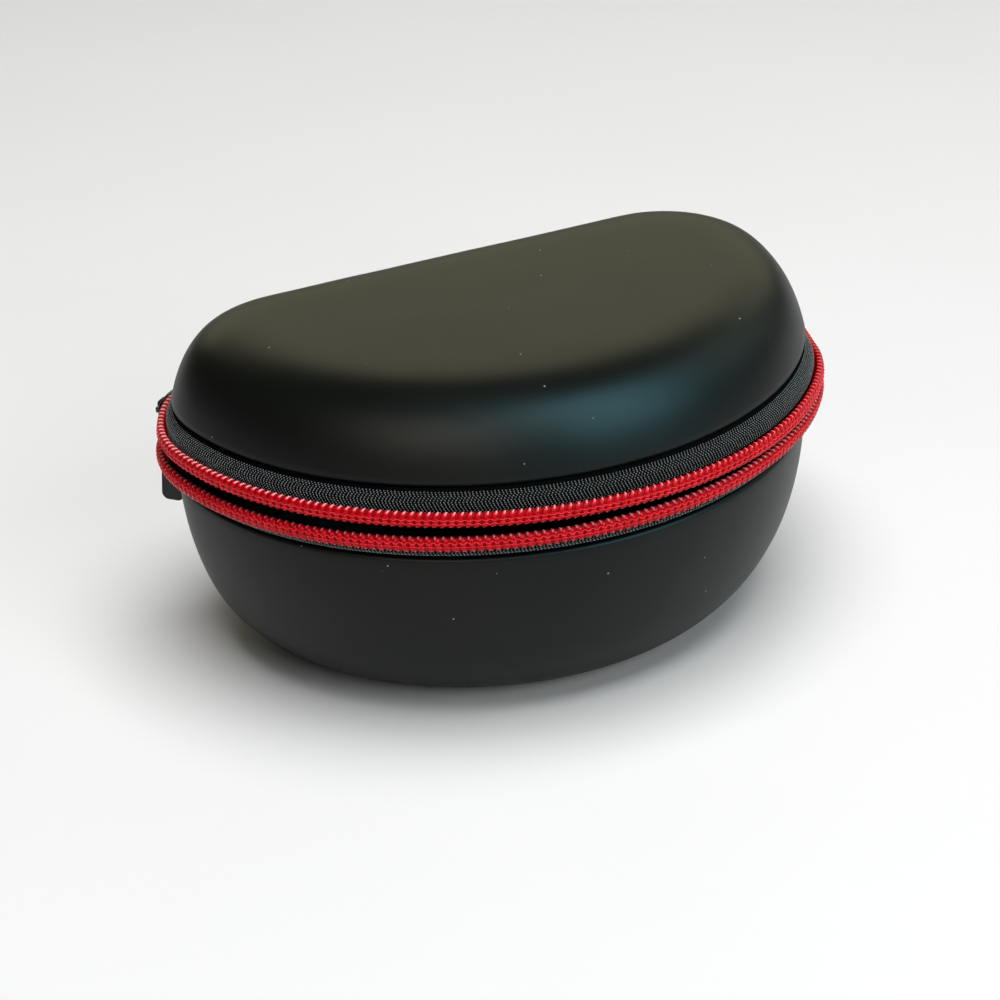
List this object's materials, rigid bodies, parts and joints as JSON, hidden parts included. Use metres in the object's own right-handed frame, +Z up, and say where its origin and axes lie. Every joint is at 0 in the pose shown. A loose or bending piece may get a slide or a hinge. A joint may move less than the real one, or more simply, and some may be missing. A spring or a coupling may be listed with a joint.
{
  "type": "headphone case",
  "caption": "Hard-shell headphone carrying case: two moulded foam shells joined by an open coil zip round the front and sides and a cloth hinge across the straight back.",
  "frame": {"origin": "middle of the flat foot under the base", "axes": "+Z up, front of the case faces -Y, straight hinge side faces +Y, +X to the right seen from the front"},
  "size_m": [0.2112, 0.1402, 0.1051],
  "materials": {
    "moulded_shell": "smooth soft-touch skin over moulded foam, satin matte",
    "zip_tape": "black herringbone woven tape",
    "zip_teeth": "glossy red nylon coil",
    "slider_metal": "black enamel, satin",
    "puller_rubber": "black rubber, satin"
  },
  "bodies": {
    "root": {"lid_shell": "moulded_shell", "base_shell": "moulded_shell", "lid_zip_tape": "zip_tape", "base_zip_tape": "zip_tape", "lid_zip_coil": "zip_teeth", "base_zip_coil": "zip_teeth", "back_hinge": "zip_tape", "zip_slider": "slider_metal", "zip_puller": "puller_rubber"}
  },
  "joints": []
}
